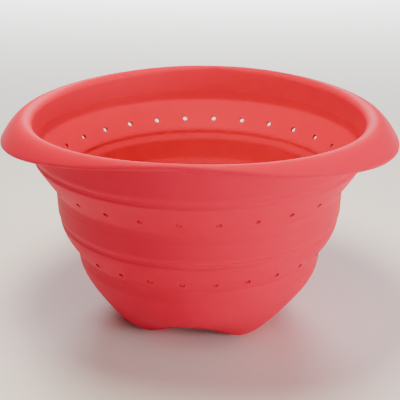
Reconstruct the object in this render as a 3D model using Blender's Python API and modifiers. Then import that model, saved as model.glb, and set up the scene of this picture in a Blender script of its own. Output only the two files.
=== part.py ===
"""Collapsible silicone colander, modelled open and standing on its four feet.

The colander is one soft moulding. It is built here as its working zones: a base
with four lobed feet, a middle wall and a rim with two wing handles, joined by two
perforated ledges that turn inside out when the colander is pressed flat. A thin
hinge ring lies above and below each ledge. All lengths are in metres, and the
origin is on the table under the middle of the bowl.
"""
import math

import bmesh
import bpy
from mathutils import Matrix, Vector

# Clearance between neighbouring zones, and how far a cutter runs past its wall
SEAM_GAP = 0.0003
CUTTER_OVERRUN = 0.0030
MERGE_DISTANCE = 0.00002

# Wall thicknesses
WALL = 0.0030
LEDGE_WALL = 0.0024
HINGE_WALL = 0.0013

# Outside radii of the three walls, from the base up
BASE_RADIUS = 0.0878
MIDDLE_RADIUS = 0.1008
UPPER_RADIUS = 0.1162
UPPER_WALL_FLARE = 0.0010
MIDDLE_WALL_FLARE = 0.0003
LEDGE_SETBACK = 0.0012
LOWER_LEDGE_BOW = 0.0020
UPPER_LEDGE_BOW = 0.0004

# Heights of the zones, from the table up
BASE_HEIGHT = 0.0515
COLLAR_HEIGHT = 0.0066
LOWER_LEDGE_RISE = 0.0214
MIDDLE_WALL_HEIGHT = 0.0200
UPPER_LEDGE_RISE = 0.0218
UPPER_WALL_HEIGHT = 0.0202
LIP_HEIGHT = 0.0048

# Hinge rings: the upper one is grooved outside, the lower one inside
TOP_HINGE_HEIGHT = 0.0035
BOTTOM_HINGE_HEIGHT = 0.0046
BOTTOM_HINGE_SKIRT = 0.0009
INNER_CHAMFER_HEIGHT = 0.0044

# Roundings of the walls
WALL_FOOT_ROUND = 0.0016
MIDDLE_FOOT_ROUND = 0.0027

# Rim lip and wings
LIP_ROUND = 0.0021
LIP_OVERHANG = 0.0012
LIP_SKIRT = 0.0012
WING_REACH = 0.0188
WING_DROP = 0.0161
WING_BULGE = 0.0037
WING_WALL = 0.0030
WING_ROOT_DROP = 0.0018
WING_END_ANGLE = math.radians(80)
REACH_POWER_SHARE = 1.4
DROP_POWER_SHARE = 2

# Drain holes
HOLE_COUNT = 28
HOLE_DIAMETER = 0.0036
UPPER_HOLE_RISE = 0.0086
LOWER_HOLE_RISE = 0.0081

# Base bowl, between the four feet and along them
FLOOR_CLEARANCE = 0.0060
FLOOR_RADIUS = 0.0280
FOOT_RADIUS = 0.0459
FOOT_FLAT_DEPTH = 0.0014
FOOT_PAD = 0.0050
FOOT_BULGE_RADIUS = 0.0822
FOOT_BULGE_HEIGHT = 0.0313
TOE_RADIUS = 0.0611
HEEL_RADIUS = 0.0365
ARCH_SHOULDER_RADIUS = 0.0856
ARCH_SHOULDER_HEIGHT = 0.0241
ARCH_WAIST_RADIUS = 0.0593
ARCH_WAIST_HEIGHT = 0.0172
ARCH_FOOT_RADIUS = 0.0448
BASE_SKIRT = 0.0012
FLOOR_LAND = 0.0020
FOOT_COUNT = 4
LOBE_TOP_SHARE = 1
LOBE_BOTTOM_SHARE = 1.5

# Holes in the floor: one in the middle, then rings
FLOOR_RING_RADII = (0.0105, 0.0205)
FLOOR_RING_COUNTS = (6, 12)
FOOT_DRAIN_RADIUS = 0.0380

# Faceting
RING_STEPS = 56
BASE_STEPS = 56
MERIDIAN_STEPS = 8
HEEL_STEPS = 3
ARC_STEPS = 3
LEDGE_STEPS = 2
HOLE_SIDES = 8
WING_STEPS = 28
WING_SECTION_STEPS = 3
SMOOTH_ANGLE = math.radians(30)

# Heights worked out from the sizes above
COLLAR_BOTTOM = BASE_HEIGHT
COLLAR_TOP = COLLAR_BOTTOM + COLLAR_HEIGHT
LOWER_LEDGE_FOOT = COLLAR_TOP + SEAM_GAP + BOTTOM_HINGE_SKIRT
LOWER_LEDGE_TOP = LOWER_LEDGE_FOOT + LOWER_LEDGE_RISE
MIDDLE_BOTTOM = LOWER_LEDGE_TOP + SEAM_GAP + TOP_HINGE_HEIGHT + SEAM_GAP
MIDDLE_TOP = MIDDLE_BOTTOM + MIDDLE_WALL_HEIGHT
UPPER_LEDGE_FOOT = MIDDLE_TOP + SEAM_GAP + BOTTOM_HINGE_SKIRT
UPPER_LEDGE_TOP = UPPER_LEDGE_FOOT + UPPER_LEDGE_RISE
UPPER_BOTTOM = UPPER_LEDGE_TOP + SEAM_GAP + TOP_HINGE_HEIGHT + SEAM_GAP
UPPER_TOP = UPPER_BOTTOM + UPPER_WALL_HEIGHT
LIP_BOTTOM = UPPER_TOP + SEAM_GAP
LIP_TOP = LIP_BOTTOM + LIP_HEIGHT
LIP_INNER_RADIUS = UPPER_RADIUS + UPPER_WALL_FLARE - WALL
LIP_OUTER_RADIUS = UPPER_RADIUS + UPPER_WALL_FLARE + LIP_OVERHANG

# Colours of the silicone, linear
RED = (0.72, 0.07, 0.06, 1.0)
DEEP_RED = (0.62, 0.03, 0.02, 1.0)
PINK_RED = (0.80, 0.13, 0.12, 1.0)
ROUGHNESS = 0.45


def clear_scene():
    """Remove the objects that are in the scene."""
    for obj in list(bpy.data.objects):
        bpy.data.objects.remove(obj, do_unlink=True)


def new_collection(name):
    """Make a collection and link it to the scene."""
    collection = bpy.data.collections.new(name)
    bpy.context.scene.collection.children.link(collection)
    return collection


def silicone(name, colour):
    """Make a satin silicone material."""
    material = bpy.data.materials.new(name)
    material.use_nodes = True
    shader = material.node_tree.nodes["Principled BSDF"]
    shader.inputs["Base Color"].default_value = colour
    shader.inputs["Roughness"].default_value = ROUGHNESS
    shader.inputs["Metallic"].default_value = 0
    material.diffuse_color = colour
    return material


def add_object(name, mesh, collection, colour=RED, parent=None):
    """Place a mesh as a named piece with a material of its own."""
    obj = bpy.data.objects.new(name, mesh)
    mesh.materials.append(silicone(name + "_silicone", colour))
    collection.objects.link(obj)
    if parent is not None:
        obj.parent = parent
        obj.matrix_parent_inverse = Matrix.Translation(-parent.location)
    return obj


def add_stage(name, height, collection, parent=None):
    """Make the empty that a folding stage rides on, on the bowl's axis."""
    empty = bpy.data.objects.new(name, None)
    empty.location = (0, 0, height)
    collection.objects.link(empty)
    if parent is not None:
        empty.parent = parent
        empty.matrix_parent_inverse = Matrix.Translation(-parent.location)
    return empty


def arc(radius, height, size, start, end, steps=ARC_STEPS):
    """Points of a profile's arc round (radius, height), between two angles."""
    points = []
    for step in range(steps + 1):
        angle = start + (end - start) * step / steps
        points.append((radius + size * math.cos(angle), height + size * math.sin(angle)))
    return points


def turned_ring(name, outside, inside, collection, colour=RED, parent=None):
    """Turn a closed profile round the axis.

    Both sides of the profile are (radius, height) points from top to bottom.
    """
    mesh = bpy.data.meshes.new(name)
    shape = bmesh.new()
    profile = outside + inside[::-1]
    corners = [shape.verts.new((radius, 0, height)) for radius, height in profile]
    for index, corner in enumerate(corners):
        shape.edges.new((corner, corners[(index + 1) % len(corners)]))
    shape.to_mesh(mesh)
    shape.free()
    obj = add_object(name, mesh, collection, colour, parent)
    screw = obj.modifiers.new("Turn", "SCREW")
    screw.axis = "Z"
    screw.angle = math.tau
    screw.steps = RING_STEPS
    screw.render_steps = RING_STEPS
    screw.use_merge_vertices = True
    screw.merge_threshold = MERGE_DISTANCE
    screw.use_smooth_shade = True
    return obj


def cut_holes(obj, name, places, cutters):
    """Drill round holes; each place is the hole's centre and its axis."""
    shape = bmesh.new()
    for centre, direction in places:
        turn = Vector((0, 0, 1)).rotation_difference(direction).to_matrix().to_4x4()
        bmesh.ops.create_cone(
            shape, cap_ends=True, segments=HOLE_SIDES, radius1=HOLE_DIAMETER / 2,
            radius2=HOLE_DIAMETER / 2, depth=WALL + 2 * CUTTER_OVERRUN,
            matrix=Matrix.Translation(centre) @ turn)
    mesh = bpy.data.meshes.new(name)
    shape.to_mesh(mesh)
    shape.free()
    cutter = bpy.data.objects.new(name, mesh)
    cutters.objects.link(cutter)
    cutter.hide_render = True
    cutter.display_type = "WIRE"
    drill = obj.modifiers.new("Drill", "BOOLEAN")
    drill.operation = "DIFFERENCE"
    drill.solver = "EXACT"
    drill.object = cutter


def build_ledge(name, foot, top, foot_radius, top_radius, bow, hole_rise,
                collection, cutters, below, above):
    """Build a sloping ledge, its ring of drain holes and its two hinge rings.

    The lower hinge ring rides on the stage below, the rest on the stage above.
    """
    top_radius -= LEDGE_SETBACK
    slope = math.atan2(top - foot, top_radius - foot_radius)
    panel_width = LEDGE_WALL / math.sin(slope)
    hinge_width = HINGE_WALL / math.sin(slope)

    def outside(height):
        rise_share = (height - foot) / (top - foot)
        straight = foot_radius + (top_radius - foot_radius) * rise_share
        return straight + 4 * bow * rise_share * (1 - rise_share)

    # The sloping panel, between its two hinges
    panel_foot = foot - BOTTOM_HINGE_SKIRT + BOTTOM_HINGE_HEIGHT + SEAM_GAP
    heights = [top + (panel_foot - top) * step / LEDGE_STEPS for step in range(LEDGE_STEPS + 1)]
    panel = turned_ring(
        name + "_drain_ledge",
        [(outside(height), height) for height in heights],
        [(outside(height) - panel_width, height) for height in heights],
        collection, PINK_RED, above)
    radius = outside(foot + hole_rise) - panel_width / 2
    places = []
    for index in range(HOLE_COUNT):
        turn = math.tau * index / HOLE_COUNT
        centre = Vector((radius * math.cos(turn), radius * math.sin(turn), foot + hole_rise))
        places.append((centre, Vector((
            math.cos(turn) * math.sin(slope), math.sin(turn) * math.sin(slope), -math.cos(slope)))))
    cut_holes(panel, name + "_hole_cutter", places, cutters)

    # The hinge above it is grooved outside, and its inside runs on from the wall to the ledge
    hinge_foot = top + SEAM_GAP
    hinge_top = hinge_foot + TOP_HINGE_HEIGHT
    wall_inside = top_radius + LEDGE_SETBACK - WALL
    turned_ring(
        name + "_ledge_top_hinge",
        [(outside(top), hinge_top), (outside(top), hinge_foot)],
        [(wall_inside, hinge_top), (outside(top) - panel_width, hinge_foot)],
        collection, DEEP_RED, above)

    # The hinge below it is thinned from the inside, round the corner of the wall
    low = foot - BOTTOM_HINGE_SKIRT
    high = low + BOTTOM_HINGE_HEIGHT
    turned_ring(
        name + "_ledge_bottom_hinge",
        [(outside(high), high), (foot_radius, foot), (foot_radius, low)],
        [(outside(high) - hinge_width, high), (foot_radius - HINGE_WALL, foot),
         (foot_radius - HINGE_WALL, low)],
        collection, DEEP_RED, below)


def build_upper_wall(collection, parent):
    """Build the steep wall under the lip, rounded where it meets its hinge."""
    foot_arc = arc(
        UPPER_RADIUS - WALL_FOOT_ROUND, UPPER_BOTTOM + WALL_FOOT_ROUND, WALL_FOOT_ROUND,
        0, -math.pi / 2)
    turned_ring(
        "upper_wall",
        [(UPPER_RADIUS + UPPER_WALL_FLARE, UPPER_TOP)] + foot_arc,
        [(LIP_INNER_RADIUS, UPPER_TOP), (UPPER_RADIUS - WALL, UPPER_BOTTOM)],
        collection, RED, parent)


def build_middle_wall(collection, parent):
    """Build the middle wall, with its chamfer inside the top and its round foot."""
    foot_arc = arc(
        MIDDLE_RADIUS - MIDDLE_FOOT_ROUND, MIDDLE_BOTTOM + MIDDLE_FOOT_ROUND, MIDDLE_FOOT_ROUND,
        0, -math.pi / 2)
    turned_ring(
        "middle_wall",
        [(MIDDLE_RADIUS + MIDDLE_WALL_FLARE, MIDDLE_TOP)] + foot_arc,
        [(MIDDLE_RADIUS + MIDDLE_WALL_FLARE - HINGE_WALL, MIDDLE_TOP),
         (MIDDLE_RADIUS - WALL, MIDDLE_TOP - INNER_CHAMFER_HEIGHT),
         (MIDDLE_RADIUS - WALL, MIDDLE_BOTTOM)],
        collection, RED, parent)


def build_lip(collection, parent):
    """Build the rounded bead round the mouth."""
    height = LIP_TOP - LIP_ROUND
    top_arc = arc(LIP_INNER_RADIUS + LIP_ROUND, height, LIP_ROUND, math.pi / 2, math.pi)
    outer_arc = arc(LIP_OUTER_RADIUS - LIP_ROUND, height, LIP_ROUND, math.pi / 2, 0)
    turned_ring(
        "rim_lip",
        outer_arc + [(LIP_OUTER_RADIUS, LIP_BOTTOM + LIP_SKIRT),
                     (LIP_OUTER_RADIUS - LIP_OVERHANG, LIP_BOTTOM)],
        top_arc[1:] + [(LIP_INNER_RADIUS, LIP_BOTTOM)],
        collection, PINK_RED, parent)


def wing_section(angle):
    """Closed (radius, height) section of a wing at an angle from its tip.

    It runs from the root along the domed top, round the edge and back below.
    """
    root = LIP_OUTER_RADIUS + SEAM_GAP
    reach_share = math.cos(angle) ** REACH_POWER_SHARE
    reach = WING_REACH * reach_share
    drop = WING_DROP * math.cos(angle) ** DROP_POWER_SHARE
    bulge = WING_BULGE * reach_share
    half = min(WING_WALL, reach) / 2
    height = LIP_TOP - WING_ROOT_DROP - half
    length = reach - half
    above, below = [(root, height + half)], [(root, height - half)]
    for step in range(1, WING_SECTION_STEPS + 1):
        along = step / WING_SECTION_STEPS
        centre = (root + length * along, height - drop * along + 4 * bulge * along * (1 - along))
        tilt = math.atan2(drop - 4 * bulge * (1 - 2 * along), length)
        across = (half * math.sin(tilt), half * math.cos(tilt))
        above.append((centre[0] + across[0], centre[1] + across[1]))
        below.append((centre[0] - across[0], centre[1] - across[1]))
    edge = arc(centre[0], centre[1], half, math.pi / 2 - tilt, -math.pi / 2 - tilt)
    return above + edge[1:-1] + below[::-1]


def build_wing(name, facing, collection, parent):
    """Loft a wing handle round the lip, on the side that it faces."""
    shape = bmesh.new()
    loops = []
    for step in range(WING_STEPS + 1):
        angle = WING_END_ANGLE * (2 * step / WING_STEPS - 1)
        turn = facing + angle
        loops.append([
            shape.verts.new((radius * math.cos(turn), radius * math.sin(turn), height))
            for radius, height in wing_section(angle)])
    for first, second in zip(loops, loops[1:]):
        for index in range(len(first)):
            after = (index + 1) % len(first)
            shape.faces.new((first[index], first[after], second[after], second[index]))
    shape.faces.new(loops[0][::-1])
    shape.faces.new(loops[-1])
    bmesh.ops.recalc_face_normals(shape, faces=shape.faces)
    mesh = bpy.data.meshes.new(name)
    shape.to_mesh(mesh)
    shape.free()
    add_object(name, mesh, collection, PINK_RED, parent)
    mesh.shade_smooth()
    mesh.set_sharp_from_angle(angle=SMOOTH_ANGLE)


def build_collar(collection):
    """Build the round top of the base, with its chamfer inside the top."""
    turned_ring(
        "base_collar",
        [(BASE_RADIUS, COLLAR_TOP), (BASE_RADIUS, COLLAR_BOTTOM + SEAM_GAP)],
        [(BASE_RADIUS - HINGE_WALL, COLLAR_TOP),
         (BASE_RADIUS - WALL, COLLAR_TOP - INNER_CHAMFER_HEIGHT),
         (BASE_RADIUS - WALL, COLLAR_BOTTOM + SEAM_GAP)],
        collection)


def bezier(points, share):
    """Point of a cubic Bezier curve."""
    rest = 1 - share
    weights = (rest ** 3, 3 * share * rest ** 2, 3 * share ** 2 * rest, share ** 3)
    return tuple(sum(weight * point[axis] for weight, point in zip(weights, points)) for axis in (0, 1))


def base_meridian(wall, heel):
    """Points down a meridian: a skirt, the wall's curve, a pad, the heel's curve and a flat land."""
    points = [(BASE_RADIUS, BASE_HEIGHT)]
    points += [bezier(wall, step / MERIDIAN_STEPS) for step in range(MERIDIAN_STEPS + 1)]
    points += [bezier(heel, step / HEEL_STEPS) for step in range(HEEL_STEPS + 1)]
    points.append((FLOOR_RADIUS, FLOOR_CLEARANCE))
    return points


def build_footed_base(collection, cutters):
    """Loft the base from its round top into four feet and the arches between them."""
    top = (BASE_RADIUS, BASE_HEIGHT - BASE_SKIRT)
    floor_edge = (FLOOR_RADIUS + FLOOR_LAND, FLOOR_CLEARANCE)
    toe, heel = FOOT_RADIUS + FOOT_PAD / 2, FOOT_RADIUS - FOOT_PAD / 2
    arch_low = (ARCH_FOOT_RADIUS, FLOOR_CLEARANCE)
    arch_land = (ARCH_FOOT_RADIUS - FOOT_PAD / 2, FLOOR_CLEARANCE)
    over_foot = base_meridian(
        (top, (FOOT_BULGE_RADIUS, FOOT_BULGE_HEIGHT), (TOE_RADIUS, -FOOT_FLAT_DEPTH),
         (toe, -FOOT_FLAT_DEPTH)),
        ((heel, -FOOT_FLAT_DEPTH), (HEEL_RADIUS, -FOOT_FLAT_DEPTH), (HEEL_RADIUS, FLOOR_CLEARANCE),
         floor_edge))
    over_arch = base_meridian(
        (top, (ARCH_SHOULDER_RADIUS, ARCH_SHOULDER_HEIGHT), (ARCH_WAIST_RADIUS, ARCH_WAIST_HEIGHT),
         arch_low),
        (arch_land, (HEEL_RADIUS, FLOOR_CLEARANCE), (HEEL_RADIUS, FLOOR_CLEARANCE), floor_edge))

    shape = bmesh.new()
    rings = []
    for row, (foot_point, arch_point) in enumerate(zip(over_foot, over_arch)):
        depth = min(max(row - 1, 0) / MERIDIAN_STEPS, 1)
        sharpness = LOBE_TOP_SHARE + (LOBE_BOTTOM_SHARE - LOBE_TOP_SHARE) * depth
        ring = []
        for step in range(BASE_STEPS):
            turn = math.tau * step / BASE_STEPS
            lobe = ((1 - math.cos(FOOT_COUNT * turn)) / 2) ** sharpness
            radius = arch_point[0] + (foot_point[0] - arch_point[0]) * lobe
            height = max(arch_point[1] + (foot_point[1] - arch_point[1]) * lobe, 0)
            ring.append(shape.verts.new((radius * math.cos(turn), radius * math.sin(turn), height)))
        rings.append(ring)
    for upper, lower in zip(rings, rings[1:]):
        for step in range(BASE_STEPS):
            after = (step + 1) % BASE_STEPS
            shape.faces.new((upper[step], lower[step], lower[after], upper[after]))
    mesh = bpy.data.meshes.new("footed_base")
    shape.to_mesh(mesh)
    shape.free()
    obj = add_object("footed_base", mesh, collection)
    shell = obj.modifiers.new("Shell", "SOLIDIFY")
    shell.thickness = WALL
    shell.offset = -1
    shell.use_even_offset = True
    places = []
    for foot in range(FOOT_COUNT):
        turn = math.tau * (foot + 1 / 2) / FOOT_COUNT
        centre = Vector((FOOT_DRAIN_RADIUS * math.cos(turn), FOOT_DRAIN_RADIUS * math.sin(turn), WALL))
        places.append((centre, Vector((0, 0, -1))))
    cut_holes(obj, "foot_drain_cutter", places, cutters)
    mesh.shade_smooth()


def build_floor(collection, cutters):
    """Build the round drain floor that closes the base between its feet."""
    shape = bmesh.new()
    radius = FLOOR_RADIUS - SEAM_GAP
    middle = FLOOR_CLEARANCE + WALL / 2
    bmesh.ops.create_cone(
        shape, cap_ends=True, segments=BASE_STEPS, radius1=radius, radius2=radius, depth=WALL,
        matrix=Matrix.Translation((0, 0, middle)))
    mesh = bpy.data.meshes.new("drain_floor")
    shape.to_mesh(mesh)
    shape.free()
    obj = add_object("drain_floor", mesh, collection, DEEP_RED)
    down = Vector((0, 0, -1))
    places = [(Vector((0, 0, middle)), down)]
    for ring_radius, count in zip(FLOOR_RING_RADII, FLOOR_RING_COUNTS):
        for index in range(count):
            turn = math.tau * index / count
            centre = Vector((ring_radius * math.cos(turn), ring_radius * math.sin(turn), middle))
            places.append((centre, down))
    cut_holes(obj, "floor_hole_cutter", places, cutters)


def main():
    """Build the colander from the table up."""
    clear_scene()
    colander = new_collection("collapsible_colander")
    cutters = new_collection("cutters")
    middle_stage = add_stage("middle_stage", COLLAR_TOP, colander)
    rim_stage = add_stage("rim_stage", MIDDLE_TOP, colander, middle_stage)
    build_floor(colander, cutters)
    build_footed_base(colander, cutters)
    build_collar(colander)
    build_ledge("lower", LOWER_LEDGE_FOOT, LOWER_LEDGE_TOP, BASE_RADIUS, MIDDLE_RADIUS,
                LOWER_LEDGE_BOW, LOWER_HOLE_RISE, colander, cutters, None, middle_stage)
    build_middle_wall(colander, middle_stage)
    build_ledge("upper", UPPER_LEDGE_FOOT, UPPER_LEDGE_TOP, MIDDLE_RADIUS + MIDDLE_WALL_FLARE,
                UPPER_RADIUS, UPPER_LEDGE_BOW, UPPER_HOLE_RISE, colander, cutters, middle_stage, rim_stage)
    build_upper_wall(colander, rim_stage)
    build_lip(colander, rim_stage)
    build_wing("right_wing", 0, colander, rim_stage)
    build_wing("left_wing", math.pi, colander, rim_stage)


main()
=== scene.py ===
"""Dresses the collapsible colander as one continuous moulding of red silicone.

The colander's zones are turned, drawn out and pierced as five skins that meet on straight
stretches of wall: the rim with its two wings, the upper fold, the middle wall, the lower
fold and the footed base. The two folds bend between the stages that they join.
"""
import logging
import math
from dataclasses import dataclass
from enum import Enum
from typing import Any, Sequence

import bmesh
import bpy
from mathutils import Matrix, Vector
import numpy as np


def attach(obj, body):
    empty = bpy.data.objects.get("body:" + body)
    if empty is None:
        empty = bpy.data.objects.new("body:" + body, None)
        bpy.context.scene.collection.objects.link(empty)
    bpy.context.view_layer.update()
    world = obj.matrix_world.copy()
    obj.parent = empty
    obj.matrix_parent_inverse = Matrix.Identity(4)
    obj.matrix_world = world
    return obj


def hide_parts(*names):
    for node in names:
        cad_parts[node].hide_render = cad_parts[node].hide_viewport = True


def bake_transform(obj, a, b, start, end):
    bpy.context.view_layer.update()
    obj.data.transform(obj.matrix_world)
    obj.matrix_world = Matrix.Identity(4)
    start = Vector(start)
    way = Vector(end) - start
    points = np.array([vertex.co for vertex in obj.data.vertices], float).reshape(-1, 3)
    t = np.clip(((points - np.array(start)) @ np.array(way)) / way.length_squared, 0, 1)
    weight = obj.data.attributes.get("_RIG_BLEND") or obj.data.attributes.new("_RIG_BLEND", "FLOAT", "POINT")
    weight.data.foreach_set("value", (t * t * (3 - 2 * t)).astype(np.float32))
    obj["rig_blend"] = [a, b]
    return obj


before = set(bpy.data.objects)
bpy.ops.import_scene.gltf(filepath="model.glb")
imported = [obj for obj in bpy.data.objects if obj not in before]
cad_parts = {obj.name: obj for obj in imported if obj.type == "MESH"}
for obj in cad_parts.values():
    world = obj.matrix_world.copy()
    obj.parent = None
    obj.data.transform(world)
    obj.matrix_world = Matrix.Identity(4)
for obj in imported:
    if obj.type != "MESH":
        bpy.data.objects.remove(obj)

log = logging.getLogger("colander")

MM = 0.001
# Face layer that marks the faces lining the bores for painted shade
ROW_LAYER = "profile_row"
BORE_SHADE_LAYER = "bore"
MERGE_DISTANCE = 0.01 * MM

Point = tuple[float, float]


@dataclass(frozen=True)
class Lamp:
    """Soft round lamp that hangs over a spot on the floor and faces it.

    Attributes:
        azimuth: Direction from the spot to the lamp, in degrees from the front to the right.
        elevation: Angle above level, in degrees.
        distance: Distance from the spot, in metres.
        size: Diameter of the lamp's face.
        power: Power in watts.
        colour: sRGB hex colour of its light.
        spot: Place on the floor that it faces.
    """

    azimuth: float
    elevation: float
    distance: float
    size: float
    power: float
    colour: str = "FFFFFC"
    spot: Point = (0.0, 0.0)


class Lighting(Enum):
    """Lamps of the photo studio.

    The key lamp and the front lamp rake the outside from the low right, the next two fill the
    bowl and the front of the lip from above, and the last two light the back and the paper.
    """

    KEY = Lamp(74.0, 9.0, 1.5, 0.42, 18.0)
    FRONT = Lamp(48.0, 9.0, 1.5, 0.42, 3.6)
    OVERHEAD = Lamp(-60.0, 84.0, 0.66, 0.3, 6.0, "FFEBD0")
    HIGH_FRONT = Lamp(10.0, 55.0, 1.4, 0.9, 4.5, "FFF4E4")
    BACK = Lamp(180.0, 40.0, 1.6, 1.2, 2.0)
    BACKGROUND = Lamp(180.0, 90.0, 1.2, 1.6, 120.0, spot=(-0.2, 2.4))


@dataclass(frozen=True)
class Corner:
    """Corner of a wall's profile, with the length over which it is rounded.

    Attributes:
        radius: Distance from the axis, in metres.
        height: Height above the table, in metres.
        ease: Length of wall on either side of the corner that the rounding takes.
    """

    radius: float
    height: float
    ease: float = 0.0


def hex_colour(code: str) -> tuple[float, float, float, float]:
    """Turn an sRGB hex colour into the linear colour that a shader takes.

    Args:
        code: Six hex digits.

    Returns:
        Linear red, green and blue, and an alpha of one.
    """
    channels = [int(code[index:index + 2], 16) / 255 for index in (0, 2, 4)]
    linear = [
        value / 12.92 if value <= 0.04045 else ((value + 0.055) / 1.055) ** 2.4
        for value in channels]
    return (linear[0], linear[1], linear[2], 1.0)


def add_node(
    tree: bpy.types.NodeTree,
    kind: str,
    settings: dict[str, Any] | None = None,
    values: dict[str, Any] | None = None,
    links: dict[str, bpy.types.NodeSocket] | None = None,
) -> bpy.types.Node:
    """Add a shader node with its settings, socket values and incoming links.

    Args:
        tree: Node tree that the node joins.
        kind: Blender's type name of the node.
        settings: Attributes of the node itself.
        values: Default values of input sockets, by name or number.
        links: Output sockets that feed input sockets, by name or number.

    Returns:
        The new node.
    """
    node = tree.nodes.new(kind)
    for name, value in (settings or {}).items():
        setattr(node, name, value)
    for socket, value in (values or {}).items():
        node.inputs[socket].default_value = value
    for socket, source in (links or {}).items():
        tree.links.new(source, node.inputs[socket])
    return node


@dataclass(frozen=True)
class MouldedSilicone:
    """Compression-moulded, food-grade silicone from a spark-eroded steel mould.

    The fine pits of the mould leave a satin skin, and the pigment in the clear rubber lets a
    little light in, so edges glow softly and the colour clouds a little from place to place.

    Attributes:
        name: Name of the material.
        colour: Pigment's sRGB hex colour.
        cloud_colour: Hex colour where the pigment lies thinner.
        bore_shade_colour: Hex colour of the painted shade inside a bore, a deeper red.
        cloud_size: Size of the clouds, in metres.
        grain_size: Spacing of the mould's pits, drawn coarser than the real 0.1 mm to show.
        grain_depth: Depth of the pits.
        roughness: Roughness of the satin skin.
        roughness_spread: How far worn patches of the mould raise or lower that roughness.
        grain_strength: Strength of the pits.
        ior: Index of refraction. Cured silicone has 1.41, a little less than most plastics.
        specular_level: Level of its reflections, low because the pits scatter them.
        glow: Share of light that enters the rubber.
        glow_depth: How far red light travels in it.
        glow_reach: Share of that depth that red, green and blue light travel.
    """

    name: str
    colour: str = "D4113A"
    cloud_colour: str = "D7153D"
    bore_shade_colour: str = "AE1230"
    cloud_size: float = 0.018
    grain_size: float = 0.0007
    grain_depth: float = 0.00002
    roughness: float = 0.52
    roughness_spread: float = 0.04
    grain_strength: float = 0.25
    ior: float = 1.41
    specular_level: float = 0.1
    glow: float = 0.12
    glow_depth: float = 0.003
    glow_reach: tuple[float, float, float] = (1.0, 0.25, 0.2)

    def material(self) -> bpy.types.Material:
        """Build the node material.

        Returns:
            The silicone as a node material on Object coordinates.
        """
        material = bpy.data.materials.new(self.name)
        material.use_nodes = True
        tree = material.node_tree
        shader = tree.nodes["Principled BSDF"]
        place = add_node(tree, "ShaderNodeTexCoord").outputs["Object"]

        # Pigment clouds, about two centimetres across, hardly seen
        clouds = add_node(
            tree, "ShaderNodeTexNoise",
            values={"Scale": 1 / self.cloud_size, "Detail": 2.0, "Roughness": 0.5},
            links={"Vector": place})
        pigment = add_node(
            tree, "ShaderNodeMix", {"data_type": "RGBA"},
            {"A": hex_colour(self.colour), "B": hex_colour(self.cloud_colour)},
            {"Factor": clouds.outputs["Fac"]})

        # Painted shade in the bores: the faces that line them take a deeper red
        bore = add_node(tree, "ShaderNodeAttribute", {"attribute_name": BORE_SHADE_LAYER})
        depth = add_node(
            tree, "ShaderNodeMix", {"data_type": "RGBA"}, {"B": hex_colour(self.bore_shade_colour)},
            {"Factor": bore.outputs["Fac"], "A": pigment.outputs["Result"]})
        tree.links.new(depth.outputs["Result"], shader.inputs["Base Color"])

        # Satin skin with faint matt patches where the mould's face is worn
        wear = add_node(
            tree, "ShaderNodeTexNoise",
            values={"Scale": 1 / (self.cloud_size * 2), "Detail": 3.0, "Roughness": 0.6},
            links={"Vector": place})
        satin = add_node(
            tree, "ShaderNodeMapRange",
            values={
                "To Min": self.roughness - self.roughness_spread,
                "To Max": self.roughness + self.roughness_spread},
            links={"Value": wear.outputs["Fac"]})
        tree.links.new(satin.outputs["Result"], shader.inputs["Roughness"])

        # Pits of the spark-eroded mould
        pits = add_node(
            tree, "ShaderNodeTexNoise",
            values={"Scale": 1 / self.grain_size, "Detail": 1.0}, links={"Vector": place})
        skin = add_node(
            tree, "ShaderNodeBump",
            values={"Strength": self.grain_strength, "Distance": self.grain_depth},
            links={"Height": pits.outputs["Fac"]})
        tree.links.new(skin.outputs["Normal"], shader.inputs["Normal"])

        # A clear rubber under its pigment: weak reflections and a soft red glow at the edges
        shader.inputs["IOR"].default_value = self.ior
        shader.inputs["Specular IOR Level"].default_value = self.specular_level
        shader.inputs["Metallic"].default_value = 0.0
        shader.inputs["Subsurface Weight"].default_value = self.glow
        shader.inputs["Subsurface Radius"].default_value = self.glow_reach
        shader.inputs["Subsurface Scale"].default_value = self.glow_depth
        return material


@dataclass(frozen=True)
class StudioPaper:
    """Matt white background paper, which gives a plain pale floor.

    Attributes:
        colour: The paper's sRGB hex colour.
        fibre_colour: Hex colour of the fibres in it.
        fibre_size: Size of the paper's faint mottling, in metres.
        roughness: Roughness of its uncoated face.
        glow_colour: Hex colour of the paper's painted glow, an emission with no lamp behind it.
        glow_start: Distance from the axis at which the painted glow starts.
        glow_end: Distance at which it is full.
        glow_strength: Its strength there.
    """

    colour: str = "FDFDFD"
    fibre_colour: str = "FAFAFA"
    fibre_size: float = 0.004
    roughness: float = 0.9
    glow_colour: str = "FFFFFF"
    glow_start: float = 0.35
    glow_end: float = 2.2
    glow_strength: float = 2.0

    def material(self) -> bpy.types.Material:
        """Build the paper's node material.

        Returns:
            The paper as a node material.
        """
        material = bpy.data.materials.new("matt_background_paper")
        material.use_nodes = True
        tree = material.node_tree
        shader = tree.nodes["Principled BSDF"]
        place = add_node(tree, "ShaderNodeTexCoord").outputs["Object"]
        fibres = add_node(
            tree, "ShaderNodeTexNoise",
            values={"Scale": 1 / self.fibre_size}, links={"Vector": place})
        shade = add_node(
            tree, "ShaderNodeMix", {"data_type": "RGBA"},
            {"A": hex_colour(self.colour), "B": hex_colour(self.fibre_colour)},
            {"Factor": fibres.outputs["Fac"]})
        tree.links.new(shade.outputs["Result"], shader.inputs["Base Color"])
        shader.inputs["Roughness"].default_value = self.roughness

        # The far paper glows with painted light, an emission that grows away from the axis, so that the room
        # stays pale all round
        away = add_node(tree, "ShaderNodeVectorMath", {"operation": "LENGTH"}, links={0: place})
        glow = add_node(
            tree, "ShaderNodeMapRange", {"interpolation_type": "SMOOTHSTEP"},
            {"From Min": self.glow_start, "From Max": self.glow_end,
             "To Min": 0.0, "To Max": self.glow_strength},
            {"Value": away.outputs["Value"]})
        shader.inputs["Emission Color"].default_value = hex_colour(self.glow_colour)
        tree.links.new(glow.outputs["Result"], shader.inputs["Emission Strength"])
        return material


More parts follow.
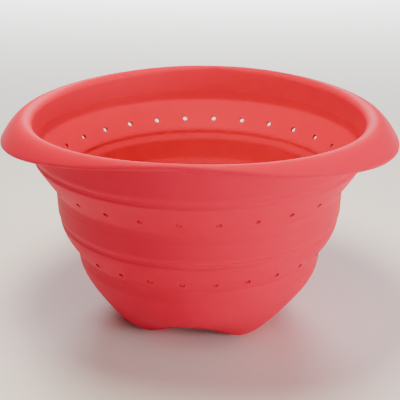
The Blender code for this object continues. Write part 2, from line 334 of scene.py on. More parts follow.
def between(first: Point, second: Point, share: float) -> Point:
    """Point at a share of the way from one point to another."""
    return (
        first[0] + (second[0] - first[0]) * share,
        first[1] + (second[1] - first[1]) * share)


def around(radius: float, turn: float, height: float) -> Vector:
    """Place at a radius from the axis, an angle about it and a height."""
    return Vector((radius * math.cos(turn), radius * math.sin(turn), height))


def bezier(points: Sequence[Point], share: float) -> Point:
    """Point at a share of the way along a Bezier curve.

    Args:
        points: Its control points, three or four.
        share: Share from 0 to 1.

    Returns:
        The (radius, height) point.
    """
    last = len(points) - 1
    weights = [
        math.comb(last, index) * (1 - share) ** (last - index) * share ** index
        for index in range(last + 1)]
    return (
        sum(weight * point[0] for weight, point in zip(weights, points)),
        sum(weight * point[1] for weight, point in zip(weights, points)))


def eased(corners: Sequence[Corner], steps: int = 5) -> list[Point]:
    """Round the corners of an open profile.

    Args:
        corners: Corners in order; the first and the last aren't rounded.
        steps: Points along each rounding, less one.

    Returns:
        The profile's (radius, height) points.
    """
    points = [(corners[0].radius, corners[0].height)]
    for before, corner, after in zip(corners, corners[1:], corners[2:]):
        here = Vector((corner.radius, corner.height))
        back = Vector((before.radius, before.height)) - here
        ahead = Vector((after.radius, after.height)) - here
        if corner.ease == 0:
            points.append((here.x, here.y))
            continue
        room_back = max(back.length / 2, back.length - before.ease)
        room_ahead = max(ahead.length / 2, ahead.length - after.ease)
        start = here + back.normalized() * min(corner.ease, room_back)
        end = here + ahead.normalized() * min(corner.ease, room_ahead)
        points += [bezier((start, here, end), step / steps) for step in range(steps + 1)]
    points.append((corners[-1].radius, corners[-1].height))
    return points


def filled(points: Sequence[Point], spacing: float) -> list[Point]:
    """Add points to a profile so that no stretch is longer than a spacing.

    Args:
        points: (radius, height) points.
        spacing: Longest stretch allowed.

    Returns:
        The same line with more points.
    """
    dense = [points[0]]
    for first, second in zip(points, points[1:]):
        count = max(1, math.ceil(math.dist(first, second) / spacing))
        dense += [between(first, second, step / count) for step in range(1, count + 1)]
    return dense


def spread(points: Sequence[Point], count: int) -> list[Point]:
    """Spread a number of points evenly along a line.

    Args:
        points: (radius, height) points of the line.
        count: Number of points to make, with the line's two ends among them.

    Returns:
        Points at equal distances along the line.
    """
    lengths = [math.dist(first, second) for first, second in zip(points, points[1:])]
    spacing = sum(lengths) / (count - 1)
    even, index, passed = [points[0]], 0, 0.0
    for step in range(1, count - 1):
        while passed + lengths[index] < spacing * step:
            passed += lengths[index]
            index += 1
        share = (spacing * step - passed) / lengths[index]
        even.append(between(points[index], points[index + 1], share))
    even.append(points[-1])
    return even


def smooth_step(value: float) -> float:
    """Ease a value from 0 to 1 with level ends."""
    share = min(max(value, 0.0), 1.0)
    return share * share * (3 - 2 * share)


def turn_profile(
    shape: bmesh.types.BMesh, points: Sequence[Point], steps: int, closed: bool,
    start: float = 0.0, angle: float = math.tau,
) -> bmesh.types.BMLayerItem:
    """Spin a profile about the axis, keeping each point's place in the profile on a layer.

    Args:
        shape: Mesh that takes the spun surface.
        points: (radius, height) points of the profile.
        steps: Number of steps in the turn.
        closed: Whether the last point joins the first.
        start: Angle about the axis that the profile starts from.
        angle: Angle that it turns through.

    Returns:
        The integer layer that holds each vertex's row.
    """
    row = shape.verts.layers.int.new(ROW_LAYER)
    turned = Matrix.Rotation(start, 3, "Z")
    corners = [shape.verts.new(turned @ Vector((radius, 0, height))) for radius, height in points]
    for index, corner in enumerate(corners):
        corner[row] = index
    pairs = list(zip(corners, corners[1:]))
    if closed:
        pairs.append((corners[-1], corners[0]))
    edges = [shape.edges.new(pair) for pair in pairs]
    full = math.isclose(angle, math.tau)
    bmesh.ops.spin(
        shape, geom=corners + edges, cent=(0, 0, 0), axis=(0, 0, 1), dvec=(0, 0, 0), angle=angle,
        steps=steps, use_merge=full, use_normal_flip=False, use_duplicate=False)
    bmesh.ops.remove_doubles(shape, verts=shape.verts[:], dist=MERGE_DISTANCE)
    return row


def placed(name: str, shape: bmesh.types.BMesh) -> bpy.types.Object:
    """Turn a shape into an object in the scene.

    Args:
        name: Name of the object and its mesh.
        shape: The shape, which is freed.

    Returns:
        The new object.
    """
    mesh = bpy.data.meshes.new(name)
    shape.to_mesh(mesh)
    shape.free()
    piece = bpy.data.objects.new(name, mesh)
    bpy.context.scene.collection.objects.link(piece)
    return piece


def finished(
    name: str, shape: bmesh.types.BMesh, finish: MouldedSilicone, crease: float = 40.0,
) -> bpy.types.Object:
    """Turn a shape into a piece with smooth shading and a finish.

    Args:
        name: Name of the piece.
        shape: The shape, which is freed.
        finish: The silicone that it is made of.
        crease: Angle in degrees above which an edge stays sharp.

    Returns:
        The new object, linked to the scene.
    """
    bmesh.ops.recalc_face_normals(shape, faces=shape.faces[:])
    piece = placed(name, shape)
    mesh = piece.data
    mesh.shade_smooth()
    mesh.set_sharp_from_angle(angle=math.radians(crease))
    mesh.materials.append(finish.material())
    log.info("%s: %d faces", name, len(mesh.polygons))
    return piece


@dataclass
class RimSkin:
    """Upper wall, lip and the two drooping wings, spun in one and drawn out at the wings.

    A wing is longest at its tip and fades out towards the front and the back, so the section
    of the rim is worked out anew at each angle from a tip.
    """

    finish: MouldedSilicone

    # Wall from the seam with the upper fold to the lip, which it flares towards
    seam_height: float = 137.0 * MM
    wall_radius: float = 116.2 * MM
    wall_foot: float = 131.9 * MM
    wall_top: float = 152.1 * MM
    flare: float = 1.0 * MM
    wall: float = 3.0 * MM

    # Plain lip at the front and the back; the flange's root lies just outside the mouth
    lip_top: float = 157.2 * MM
    lip_radius: float = 118.4 * MM
    lip_round: float = 2.1 * MM
    lip_inner_round: float = 2.3 * MM
    root_offset: float = 1.5 * MM

    # Wings: reach, drop and rise of the middle at a tip, half the thickness, the reach from
    # which it holds, and the powers of the cosine by which reach and drop fade
    wing_reach: float = 18.8 * MM
    wing_drop: float = 16.1 * MM
    wing_bulge: float = 4.5 * MM
    wing_half: float = 1.5 * MM
    wing_start: float = 6.0 * MM
    reach_power: float = 1.4
    drop_power: float = 2.0

    # Crest of the mouth, which dips beside a wing, rolls down into the mouth there and gives
    # way to the wing's own root over a short width
    wing_root_drop: float = 1.8 * MM
    crest_dip: float = 3.2 * MM
    root_blend: float = 9.0 * MM
    roll_reach: float = 5.2 * MM
    roll_depth: float = 4.2 * MM

    # Fillet between the wall and the lip's underside
    fillet: float = 1.4 * MM
    fillet_start: float = 0.6 * MM
    fillet_sink: float = 0.2 * MM

    # Steps of the turn and points of the section, crowded by a power at the flange's root
    steps: int = 360
    wall_rows: int = 9
    fillet_steps: int = 5
    underside_rows: int = 26
    flange_steps: int = 16
    crowding: float = 1.5
    edge_steps: int = 12
    crest_steps: int = 7
    inside_rows: int = 12

    def wall_outside(self, height: float) -> float:
        """Outside radius of the flared wall at a height."""
        rise = self.wall_top - self.wall_foot
        return self.wall_radius + self.flare * (height - self.wall_foot) / rise

    def flange(self, angle: float) -> tuple[list[Point], list[Point], list[Point]]:
        """Work out the flange outside the mouth's crest at an angle from a wing's tip.

        Args:
            angle: Angle from the tip, in radians.

        Returns:
            Points of the underside outwards, round the edge, and of the top inwards.
        """
        facing = max(math.cos(angle), 0.0)
        fade = facing ** self.reach_power
        reach = self.wing_reach * fade
        drop = self.wing_drop * facing ** self.drop_power
        bulge = self.wing_bulge * fade
        winged = smooth_step(reach / self.wing_start)
        half = self.lip_round + (self.wing_half - self.lip_round) * winged
        root = self.lip_radius - self.wall + self.root_offset - self.flare
        height = self.lip_top - half - self.wing_root_drop * winged
        length = self.lip_radius + reach - half - root
        crest_rise = self.wing_root_drop * winged - self.crest_dip * fade
        roll = root + self.roll_reach * fade
        roll_width = roll - self.wall_outside(self.wall_top) + self.wall
        below, above = [], []
        for step in range(self.flange_steps + 1):
            share = (step / self.flange_steps) ** self.crowding
            radius = root + length * share

            # The bulge is a parabola along the flange, which lies level at its root
            centre = height - drop * share + 4 * bulge * share * (1 - share)
            fall = math.atan2(drop - 4 * bulge * (1 - 2 * share), length)
            slope = fall * smooth_step(share * length / half)
            across, up = half * math.sin(slope), half * math.cos(slope)

            # Towards the mouth the top follows the crest's own height and rolls down
            rise = crest_rise * (1 - smooth_step((radius - root) / self.root_blend))
            into_roll = max(roll - radius, 0.0) / roll_width
            rolled = self.roll_depth * (1 - math.sqrt(1 - into_roll ** 2))
            above.append((radius + across, centre + up + rise - rolled))
            below.append((radius - across, centre - up))
        edge = []
        for step in range(1, self.edge_steps):
            turn = math.pi / 2 - slope - math.pi * step / self.edge_steps
            edge.append((radius + half * math.cos(turn), centre + half * math.sin(turn)))
        return below, edge[::-1], above[::-1]

    def section(self, angle: float) -> list[Point]:
        """Closed section of the rim at an angle from a wing's tip.

        Args:
            angle: Angle from the tip, in radians.

        Returns:
            Points up the outside, round the flange and the lip, and down the inside.
        """
        below, edge, above = self.flange(angle)
        wall_head = self.wall_outside(self.wall_top)
        underside = spread(
            self.beyond(below + edge, wall_head + self.fillet_start), self.underside_rows)
        foot = underside[0]
        fillet_foot = foot[1] - self.fillet
        outside = spread(
            [(self.wall_outside(self.seam_height), self.seam_height),
             (self.wall_outside(fillet_foot), fillet_foot)], self.wall_rows)
        fillet_corner = (wall_head, foot[1] - self.fillet_sink)
        fillet = [
            bezier((outside[-1], fillet_corner, foot), step / self.fillet_steps)
            for step in range(1, self.fillet_steps)]
        inner = wall_head - self.wall
        (outer_radius, outer_top), (root, root_top) = above[-2:]
        slope = (outer_top - root_top) / (outer_radius - root)
        corner_top = root_top - slope * (root - inner)
        inner_top = corner_top - self.lip_inner_round
        crest = [
            bezier((above[-1], (inner, corner_top), (inner, inner_top)), step / self.crest_steps)
            for step in range(1, self.crest_steps + 1)]
        inner_foot = self.wall_outside(self.seam_height) - self.wall
        inside = spread([(inner, inner_top), (inner_foot, self.seam_height)], self.inside_rows)
        return outside + fillet + underside + above + crest + inside[1:]

    @staticmethod
    def beyond(points: Sequence[Point], radius: float) -> list[Point]:
        """Cut a line where it first runs outwards past a radius, and keep what follows."""
        for index, (first, second) in enumerate(zip(points, points[1:])):
            if first[0] <= radius < second[0]:
                share = (radius - first[0]) / (second[0] - first[0])
                return [between(first, second, share), *points[index + 1:]]
        return list(points)

    def build(self) -> bpy.types.Object:
        """Spin the plain lip and draw the wings out of it.

        Returns:
            The rim's piece.
        """
        shape = bmesh.new()
        row = turn_profile(shape, self.section(math.pi / 2), self.steps, closed=True)
        sections: dict[float, list[Point]] = {}
        for corner in shape.verts:
            turn = math.atan2(corner.co.y, corner.co.x)
            from_tip = round(min(abs(turn), math.pi - abs(turn)), 5)
            if from_tip not in sections:
                sections[from_tip] = self.section(from_tip)
            radius, height = sections[from_tip][corner[row]]
            corner.co = around(radius, turn, height)
        return finished("rim_skin", shape, self.finish)

    def dress(self, piece: bpy.types.Object) -> None:
        """Set the rim on its stage in place of the CAD zones."""
        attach(piece, "rim")
        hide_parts("rim_lip", "left_wing", "right_wing", "upper_wall")


@dataclass
class FoldSkin:
    """Perforated ledge that turns inside out, with the thin hinge rings above and below it.

    The corners run from the seam in the wall below to the seam in the wall above, first up
    the outside and then down the inside. The straight stretch of the ledge carries its holes.
    """

    name: str
    finish: MouldedSilicone

    # Bodies that the fold joins, the CAD zones that it replaces and its material slot
    below: str
    above: str
    stands_for: tuple[str, ...]
    slot: str

    # Seams in the walls below and above
    seam_foot: float
    seam_top: float

    # Outside of the ledge, which bows out between its foot and its top, and of the walls
    foot_radius: float
    top_radius: float
    foot: float
    top: float
    bow: float
    wall_radius_below: float
    wall_radius_above: float

    # Height of the holes' outer ends, and of the inside's turn above the ledge's top
    hole_height: float
    turn_rise: float

    # Thickness of the walls, of the ledge and of the thin hinge
    wall: float = 3.0 * MM
    ledge_wall: float = 2.4 * MM
    hinge_wall: float = 1.3 * MM

    # How far the ledge's straight stretch stops short of its ends, and their rounding
    panel_foot: float = 1.6 * MM
    panel_top: float = 1.2 * MM
    foot_ease: float = 1.3 * MM
    top_ease: float = 0.9 * MM
    inner_top_ease: float = 1.5 * MM

    # Grooved band over the ledge, and the rounded foot of the wall above it
    band_height: float = 4.1 * MM
    groove: float = 0.5 * MM
    groove_foot: float = 1.4 * MM
    groove_margin: float = 0.4 * MM
    groove_ease: float = 0.8 * MM
    wall_margin: float = 1.0 * MM
    foot_round: float = 3.2 * MM

    # Inside of the thin hinge at the ledge's foot: its height above and below the foot, the
    # height at which the ledge is thick again, and that at which the wall below starts to thin
    hinge_above: float = 1.6 * MM
    hinge_below: float = 1.2 * MM
    hinge_ease: float = 0.6 * MM
    thin_ease: float = 0.4 * MM
    thin_height: float = 3.7 * MM
    inner_margin: float = 1.0 * MM
    chamfer_height: float = 5.6 * MM
    chamfer_ease: float = 0.8 * MM

    # Drain holes. The rings of points round an edge grow and sink by shares of its rounding,
    # and some of the bands of faces between the rings line the bore and take a painted shade
    hole_radius: float = 1.8 * MM
    hole_round: float = 0.2 * MM
    hole_rings: tuple[tuple[float, float], ...] = ((1.0, 0.0), (0.28, 0.1), (0.0, 0.6))
    shaded_bore_bands: range = range(2, 5)
    holes: int = 28

    # Columns of faces to a hole, the rows and columns on each side of it that give way to its
    # rings, how far off its plane they may lie, and the height of a row
    columns: int = 12
    patch: int = 2
    patch_depth: float = 0.7 * MM
    row_spacing: float = 1.9 * MM
    crease: float = 60.0

    @property
    def slope(self) -> float:
        """Angle of the ledge's outside above level."""
        return math.atan2(self.top - self.foot, self.top_radius - self.foot_radius)

    @property
    def panel_width(self) -> float:
        """Level width of the ledge's wall."""
        return self.ledge_wall / math.sin(self.slope)

    def outside(self, height: float) -> float:
        """Outside radius of the bowed ledge at a height."""
        share = (height - self.foot) / (self.top - self.foot)
        straight = self.foot_radius + (self.top_radius - self.foot_radius) * share
        return straight + 4 * self.bow * share * (1 - share)

    def panel(self, low: float, high: float, shift: float) -> list[Point]:
        """Points up one face of the ledge, spaced so that a ring of holes fits its rows.

        Args:
            low: Height that the face starts at.
            high: Height that it ends at.
            shift: Level distance inwards from the outside.

        Returns:
            (radius, height) points from low to high.
        """
        rise = self.row_spacing * math.sin(self.slope)
        centre = self.hole_height
        if shift:
            centre += self.ledge_wall * math.cos(self.slope)
        heights = [centre + rise * step for step in range(-self.patch, self.patch + 1)]
        first, last = heights[0], heights[-1]
        count = max(2, round((high - last) / rise))
        heights += [last + (high - last) * step / count for step in range(1, count + 1)]
        count = max(1, round((first - low) / rise))
        heights = [low + (first - low) * step / count for step in range(count)] + heights
        return [(self.outside(height) - shift, height) for height in heights]

    def profile(self) -> list[Point]:
        """Closed profile of the fold.

        Returns:
            Points up the outside and down the inside.
        """
        low, high = self.foot + self.panel_foot, self.top - self.panel_top
        width = self.panel_width
        outer_low = eased([
            Corner(self.wall_radius_below, self.seam_foot),
            Corner(self.foot_radius, self.foot, self.foot_ease),
            Corner(self.outside(low), low)])
        groove = self.outside(self.top) - self.groove
        band_top = self.top + self.band_height
        outer_high = eased([
            Corner(self.outside(high), high),
            Corner(self.outside(self.top), self.top, self.top_ease),
            Corner(groove, self.top + self.groove_foot, self.groove_ease),
            Corner(groove, band_top - self.groove_margin, self.groove_ease),
            Corner(self.wall_radius_above, band_top + self.wall_margin, self.foot_round),
            Corner(self.wall_radius_above, self.seam_top)])
        wall_above = self.wall_radius_above - self.wall
        inner_high = eased([
            Corner(wall_above, self.seam_top),
            Corner(wall_above, self.top + self.turn_rise, self.inner_top_ease),
            Corner(self.outside(high) - width, high)])
        thick = self.foot + self.thin_height
        inner_panel = thick + self.inner_margin
        hinge = self.foot_radius - self.hinge_wall
        wall_below = self.wall_radius_below - self.wall
        inner_low = eased([
            Corner(self.outside(inner_panel) - width, inner_panel),
            Corner(self.outside(thick) - width, thick, self.thin_ease),
            Corner(hinge, self.foot + self.hinge_above, self.hinge_ease),
            Corner(hinge, self.foot - self.hinge_below, self.thin_ease),
            Corner(wall_below, self.foot - self.chamfer_height, self.chamfer_ease),
            Corner(wall_below, self.seam_foot)])
        outer = outer_low[:-1] + self.panel(low, high, 0.0) + outer_high[1:]
        inner = inner_high[:-1] + self.panel(inner_panel, high, width)[::-1] + inner_low[1:]
        return outer + inner

    @staticmethod
    def ring(
        shape: bmesh.types.BMesh, place: Matrix, radius: float, sides: int,
    ) -> list[bmesh.types.BMEdge]:
        """Add a circle of edges for a hole.

        Args:
            shape: Mesh that takes it.
            place: Matrix from the circle's plane to its place.
            radius: Radius of the circle.
            sides: Number of edges.

        Returns:
            The circle's edges.
        """
        made = bmesh.ops.create_circle(
            shape, cap_ends=False, radius=radius, segments=sides, matrix=place)
        corners = set(made["verts"])
        return [
            edge for corner in corners for edge in corner.link_edges
            if edge.other_vert(corner) in corners]

    def pierce(self, shape: bmesh.types.BMesh, column: float) -> None:
        """Open one rounded drain hole through the sector that faces +X.

        Args:
            shape: The sector's mesh.
            column: Width of a column of faces at the hole.
        """
        axis = Vector((math.sin(self.slope), 0, -math.cos(self.slope)))
        outer = Vector((self.outside(self.hole_height), 0, self.hole_height))
        inner_height = self.hole_height + self.ledge_wall * math.cos(self.slope)
        inner = Vector((self.outside(inner_height) - self.panel_width, 0, inner_height))
        along = Vector((math.cos(self.slope), 0, math.sin(self.slope)))
        turn = Matrix((along, axis.cross(along), axis)).transposed().to_4x4()
        rings: list[list[list[bmesh.types.BMEdge]]] = []
        for centre, inward in ((outer, -1), (inner, 1)):
            faces = []
            for face in shape.faces:
                middle = face.calc_center_median()
                off = middle - centre
                if (abs(off.dot(axis)) < self.patch_depth
                        and abs(off.dot(along)) < self.patch * self.row_spacing
                        and abs(middle.y) < self.patch * column):
                    faces.append(face)
            inside = set(faces)
            border = [
                edge for edge in {edge for face in faces for edge in face.edges}
                if sum(face in inside for face in edge.link_faces) == 1]
            bmesh.ops.delete(shape, geom=faces, context="FACES")
            border = [edge for edge in border if edge.is_valid]
            sides = len(border)
            circles = [border]
            for grow, sink in self.hole_rings:
                middle = centre + axis * inward * self.hole_round * sink
                place = Matrix.Translation(middle) @ turn
                radius = self.hole_radius + self.hole_round * grow
                circles.append(self.ring(shape, place, radius, sides))
            rings.append(circles if not rings else circles[::-1])
        chain = rings[0] + rings[1]
        # Mark the faces that line the bore for the material's painted shade
        bore = shape.faces.layers.float[BORE_SHADE_LAYER]
        for index, (first, second) in enumerate(zip(chain, chain[1:])):
            first = [edge for edge in set(first) if edge.is_valid]
            second = [edge for edge in set(second) if edge.is_valid]
            band = bmesh.ops.bridge_loops(shape, edges=first + second)["faces"]
            for face in band:
                face[bore] = float(index in self.shaded_bore_bands)

    def build(self) -> bpy.types.Object:
        """Spin one sector with its hole and repeat it round the bowl.

        Returns:
            The fold's piece.
        """
        shape = bmesh.new()
        shape.faces.layers.float.new(BORE_SHADE_LAYER)
        sector = math.tau / self.holes
        turn_profile(
            shape, self.profile(), self.columns, closed=True, start=-sector / 2, angle=sector)
        self.pierce(shape, self.outside(self.hole_height) * sector / self.columns)
        bmesh.ops.spin(
            shape, geom=shape.verts[:] + shape.edges[:] + shape.faces[:], cent=(0, 0, 0),
            axis=(0, 0, 1), dvec=(0, 0, 0), angle=math.tau - sector, steps=self.holes - 1,
            use_merge=False, use_normal_flip=False, use_duplicate=True)
        bmesh.ops.remove_doubles(shape, verts=shape.verts[:], dist=MERGE_DISTANCE)
        return finished(self.name, shape, self.finish, self.crease)

    def dress(self, piece: bpy.types.Object) -> None:
        """Bend the fold between the stages that it joins, in place of the CAD zones."""
        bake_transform(piece, self.below, self.above, start=(0, 0, self.foot), end=(0, 0, self.top))
        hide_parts(*self.stands_for)


@dataclass
class MiddleSkin:
    """Straight stretch of the middle wall between the two folds.

    Attributes:
        finish: Silicone that the wall is made of.
        seam_foot: Height of the seam below.
        seam_top: Height of the seam above.
        foot_radius: Outside radius at the seam below.
        top_radius: Outside radius at the seam above.
        wall: Thickness of the wall.
        row_spacing: Largest height of a row of faces.
        steps: Steps of the full turn.
    """

    finish: MouldedSilicone
    seam_foot: float = 89.6 * MM
    seam_top: float = 99.5 * MM
    foot_radius: float = 100.8 * MM
    top_radius: float = 101.1 * MM
    wall: float = 3.0 * MM
    row_spacing: float = 2.0 * MM
    steps: int = 336

    def build(self) -> bpy.types.Object:
        """Spin the wall.

        Returns:
            The middle wall's piece.
        """
        shape = bmesh.new()
        low, high = self.foot_radius, self.top_radius
        corners = [
            (low, self.seam_foot), (high, self.seam_top),
            (low - self.wall, self.seam_top), (low - self.wall, self.seam_foot)]
        outside = filled(corners[:2], self.row_spacing)
        inside = filled(corners[2:], self.row_spacing)
        turn_profile(shape, outside + inside, self.steps, closed=True)
        return finished("middle_skin", shape, self.finish)

    def dress(self, piece: bpy.types.Object) -> None:
        """Set the wall on its stage in place of the CAD wall."""
        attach(piece, "middle")
        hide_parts("middle_wall")


@dataclass
class BaseSkin:
    """Lower bowl that swells into four hollow feet round a drain floor.

    Two outlines, one down a foot and one down an arch between feet, are blended by a lobed
    wave round the axis. Points are (radius, height).
    """

    finish: MouldedSilicone

    # Straight wall under the seam, and the start of both outlines
    seam_height: float = 53.0 * MM
    straight: float = 1.2 * MM
    straight_rows: int = 2
    top_radius: float = 87.8 * MM
    skirt_foot: float = 50.3 * MM
    wall: float = 3.0 * MM

    # Underside of the drain floor, with its rings of points as shares of its radius
    floor_height: float = 6.0 * MM
    floor_radius: float = 30.0 * MM
    floor_rings: tuple[float, ...] = (0.93, 0.8, 0.55, 0.3, 0.0)

    # Outline down a foot: control points, outer and inner radius of its flat, and its heel
    foot_bulge: Point = (82.2 * MM, 31.3 * MM)
    toe: Point = (61.1 * MM, -1.4 * MM)
    pad: tuple[float, float] = (48.4 * MM, 43.4 * MM)
    heel_radius: float = 36.5 * MM

    # Outline down an arch: control points, and outer and inner radius of its flat
    arch_shoulder: Point = (85.6 * MM, 24.1 * MM)
    arch_waist: Point = (59.3 * MM, 17.2 * MM)
    arch_land: tuple[float, float] = (44.8 * MM, 42.3 * MM)

    # Lobes, with the powers that narrow their wave at the top and at the foot
    feet: int = 4
    top_sharpness: float = 1.0
    bottom_sharpness: float = 1.5

    # Holes: radius and number of each ring in the floor, and a drain in each foot
    hole_radius: float = 1.8 * MM
    hole_rings: tuple[tuple[float, int], ...] = ((0.0, 1), (10.5 * MM, 6), (20.5 * MM, 12))
    foot_drain_radius: float = 38.0 * MM
    drill_length: float = 24.0 * MM
    drill_sides: int = 24

    # Rows down an outline and from its flat to the floor, and steps of the turn
    wall_rows: int = 24
    heel_rows: int = 6
    steps: int = 224
    crease: float = 50.0

    def meridian(self, over_foot: bool) -> list[Point]:
        """Outside of the base from its seam to the floor's middle.

        Args:
            over_foot: Whether it runs down a foot and not down an arch.

        Returns:
            The same number of (radius, height) points either way.
        """
        top = (self.top_radius, self.skirt_foot)
        edge = (self.floor_radius, self.floor_height)
        if over_foot:
            low = self.toe[1]
            wall = (top, self.foot_bulge, self.toe, (self.pad[0], low))
            heel_top = (self.heel_radius, self.floor_height)
            heel = ((self.pad[1], low), (self.heel_radius, low), heel_top, edge)
        else:
            low = self.floor_height
            wall = (top, self.arch_shoulder, self.arch_waist, (self.arch_land[0], low))
            heel = (
                (self.arch_land[1], low), (self.heel_radius, low), (self.heel_radius, low), edge)
        points = [
            (self.top_radius, self.seam_height),
            (self.top_radius, self.seam_height - self.straight)]
        points += [bezier(wall, step / self.wall_rows) for step in range(self.wall_rows + 1)]
        middle = ((wall[-1][0] + heel[0][0]) / 2, low)
        points.append(middle)
        points += [bezier(heel, step / self.heel_rows) for step in range(self.heel_rows + 1)]
        points += [(self.floor_radius * share, self.floor_height) for share in self.floor_rings]
        return points

    def shell(self) -> bmesh.types.BMesh:
        """Spin the arches' meridian and draw the feet out of it.

        Returns:
            The outside of the base as an open surface.
        """
        arch, foot = self.meridian(False), self.meridian(True)
        shape = bmesh.new()
        row = turn_profile(shape, arch, self.steps, closed=False)
        gain = self.bottom_sharpness - self.top_sharpness
        for corner in shape.verts:
            index = corner[row]
            depth = min(max(index - self.straight_rows, 0) / self.wall_rows, 1.0)
            sharpness = self.top_sharpness + gain * depth
            turn = math.atan2(corner.co.y, corner.co.x)
            lobe = ((1 - math.cos(self.feet * turn)) / 2) ** sharpness
            radius, height = between(arch[index], foot[index], lobe)
            corner.co = around(radius, turn, max(height, 0.0))
        bmesh.ops.recalc_face_normals(shape, faces=shape.faces[:])
        return shape

    def drills(self) -> bpy.types.Object:
        """Cylinders that drill the floor and the feet.

        Returns:
            A helper object, removed after the holes are cut.
        """
        shape = bmesh.new()
        places = [
            around(ring, math.tau * index / count, self.floor_height)
            for ring, count in self.hole_rings for index in range(count)]
        places += [
            around(self.foot_drain_radius, math.tau * (index + 0.5) / self.feet, self.floor_height)
            for index in range(self.feet)]
        for place in places:
            bmesh.ops.create_cone(
                shape, cap_ends=True, segments=self.drill_sides, radius1=self.hole_radius,
                radius2=self.hole_radius, depth=self.drill_length,
                matrix=Matrix.Translation(place))
        return placed("base_drills", shape)

    def build(self) -> bpy.types.Object:
        """Give the shell its wall and drill it.

        Returns:
            The base's piece.
        """
        form = placed("base_form", self.shell())
        thick = form.modifiers.new("Wall", "SOLIDIFY")
        thick.thickness = self.wall
        thick.offset = -1
        thick.use_even_offset = True
        drills = self.drills()
        drill = form.modifiers.new("Drill", "BOOLEAN")
        drill.operation = "DIFFERENCE"
        drill.solver = "EXACT"
        drill.object = drills
        graph = bpy.context.evaluated_depsgraph_get()
        solid = bpy.data.meshes.new_from_object(form.evaluated_get(graph))
        shape = bmesh.new()
        shape.from_mesh(solid)
        for helper in (form, drills):
            bpy.data.objects.remove(helper, do_unlink=True)
        return finished("base_skin", shape, self.finish, self.crease)

    def dress(self, piece: bpy.types.Object) -> None:
        """Set the base under the folds in place of the CAD base and floor."""
        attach(piece, "base")
        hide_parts("footed_base", "drain_floor")


@dataclass
class Studio:
    """Floor of white paper, pale room, soft lamps and the photograph's camera.

    Attributes:
        paper: Finish of the floor.
        floor_size: Side of the square floor, in metres.
        sky_colour: sRGB hex colour of the room.
        sky_strength: Strength of its light overhead.
        horizon_strength: Strength at the horizon.
        horizon_edge: Upward part of a direction under which the room is pale.
        sky_edge: Upward part over which it is dark.
        lens: Focal length of the camera, in millimetres.
        camera_azimuth: Its direction from the front to the right, in radians.
        camera_reach: Its distance from the axis.
        camera_height: Its height above the floor.
        camera_shift: How far it stands to the side of that direction.
        camera_pitch: How far it looks down.
    """

    paper: StudioPaper
    floor_size: float = 12.0
    sky_colour: str = "FFFFFF"
    sky_strength: float = 0.01
    horizon_strength: float = 0.6
    horizon_edge: float = -0.01
    sky_edge: float = 0.25
    lens: float = 74.8
    camera_azimuth: float = math.radians(6.5)
    camera_reach: float = 0.5548
    camera_height: float = 0.3204
    camera_shift: float = 0.0006
    camera_pitch: float = math.radians(22.86)

    def build(self) -> None:
        """Build the floor, the sky, the lamps and the camera."""
        self.floor()
        self.sky()
        for lamp in Lighting:
            self.lamp(lamp)
        self.camera()

    def floor(self) -> None:
        """Lay the paper under the feet."""
        shape = bmesh.new()
        bmesh.ops.create_grid(shape, x_segments=2, y_segments=2, size=self.floor_size / 2)
        floor = placed("studio_floor", shape)
        floor.data.materials.append(self.paper.material())

    def sky(self) -> None:
        """Paint the room round the paper, pale at the horizon and dark overhead."""
        world = bpy.data.worlds.new("studio_room")
        world.use_nodes = True
        background = world.node_tree.nodes["Background"]
        background.inputs["Color"].default_value = hex_colour(self.sky_colour)
        ways = add_node(world.node_tree, "ShaderNodeTexCoord").outputs["Generated"]
        height = add_node(world.node_tree, "ShaderNodeSeparateXYZ", links={"Vector": ways})
        strength = add_node(
            world.node_tree, "ShaderNodeMapRange",
            values={"From Min": self.horizon_edge, "From Max": self.sky_edge,
                    "To Min": self.horizon_strength, "To Max": self.sky_strength},
            links={"Value": height.outputs["Z"]})
        world.node_tree.links.new(strength.outputs["Result"], background.inputs["Strength"])
        bpy.context.scene.world = world

    def lamp(self, lamp: Lighting) -> None:
        """Hang one area lamp.

        Args:
            lamp: Which lamp it is.
        """
        turn, lift = math.radians(lamp.value.azimuth), math.radians(lamp.value.elevation)
        data = bpy.data.lights.new(lamp.name.lower() + "_lamp", "AREA")
        data.shape = "DISK"
        data.size = lamp.value.size
        data.energy = lamp.value.power
        data.color = hex_colour(lamp.value.colour)[:3]
        piece = bpy.data.objects.new(data.name, data)
        level = math.cos(lift)
        back = Vector((math.sin(turn) * level, -math.cos(turn) * level, math.sin(lift)))
        piece.location = Vector((*lamp.value.spot, 0)) + back * lamp.value.distance
        piece.rotation_euler = (-back).to_track_quat("-Z", "Y").to_euler()
        bpy.context.scene.collection.objects.link(piece)

    def camera(self) -> None:
        """Set the camera at the photograph's angle."""
        data = bpy.data.cameras.new("photo_camera")
        data.lens = self.lens
        camera = bpy.data.objects.new("photo_camera", data)
        turn = Matrix.Rotation(self.camera_azimuth, 3, "Z")
        camera.location = turn @ Vector((self.camera_shift, -self.camera_reach, self.camera_height))
        camera.rotation_euler = (math.pi / 2 - self.camera_pitch, 0, self.camera_azimuth)
        bpy.context.scene.collection.objects.link(camera)
        bpy.context.scene.camera = camera


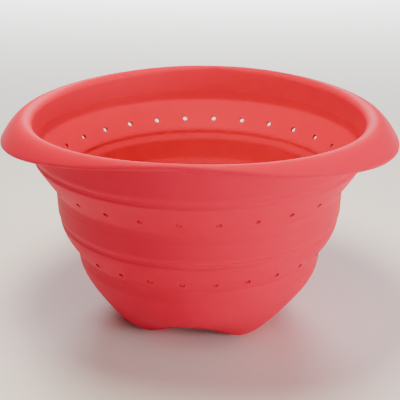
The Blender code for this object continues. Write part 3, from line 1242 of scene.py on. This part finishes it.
def upper_fold(finish: MouldedSilicone) -> FoldSkin:
    """Describe the upper fold, between the middle wall and the rim.

    Args:
        finish: Its silicone.

    Returns:
        The fold.
    """
    return FoldSkin(
        name="upper_fold_skin", finish=finish, below="middle", above="rim",
        stands_for=("upper_ledge_bottom_hinge", "upper_drain_ledge", "upper_ledge_top_hinge"),
        slot="upper_drain_ledge_silicone",
        seam_foot=99.5 * MM, seam_top=137.0 * MM, foot_radius=101.1 * MM, top_radius=115.0 * MM,
        foot=106.0 * MM, top=127.8 * MM, bow=0.4 * MM, wall_radius_below=101.05 * MM,
        wall_radius_above=116.3 * MM, hole_height=114.6 * MM, turn_rise=1.8 * MM)


def lower_fold(finish: MouldedSilicone) -> FoldSkin:
    """Describe the lower fold, between the base and the middle wall.

    Args:
        finish: Its silicone.

    Returns:
        The fold.
    """
    return FoldSkin(
        name="lower_fold_skin", finish=finish, below="base", above="middle",
        stands_for=(
            "base_collar", "lower_ledge_bottom_hinge", "lower_drain_ledge",
            "lower_ledge_top_hinge"),
        slot="lower_drain_ledge_silicone",
        seam_foot=53.0 * MM, seam_top=89.6 * MM, foot_radius=87.8 * MM, top_radius=99.6 * MM,
        foot=59.3 * MM, top=80.7 * MM, bow=2.0 * MM, wall_radius_below=87.8 * MM,
        wall_radius_above=100.8 * MM, hole_height=67.4 * MM, turn_rise=3.2 * MM)


def main() -> None:
    """Build each zone of the colander, dress it and report it."""
    logging.basicConfig(level=logging.INFO, format="%(name)s: %(message)s")
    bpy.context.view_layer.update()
    zones = (
        RimSkin(MouldedSilicone("rim_moulded_silicone")),
        upper_fold(MouldedSilicone("upper_fold_moulded_silicone")),
        MiddleSkin(MouldedSilicone("middle_moulded_silicone")),
        lower_fold(MouldedSilicone("lower_fold_moulded_silicone")),
        BaseSkin(MouldedSilicone("base_moulded_silicone")),
    )
    for zone in zones:
        piece = zone.build()
        zone.dress(piece)
        log.info("%s is dressed", piece.name)
    Studio(StudioPaper()).build()


if __name__ == "__main__":
    main()
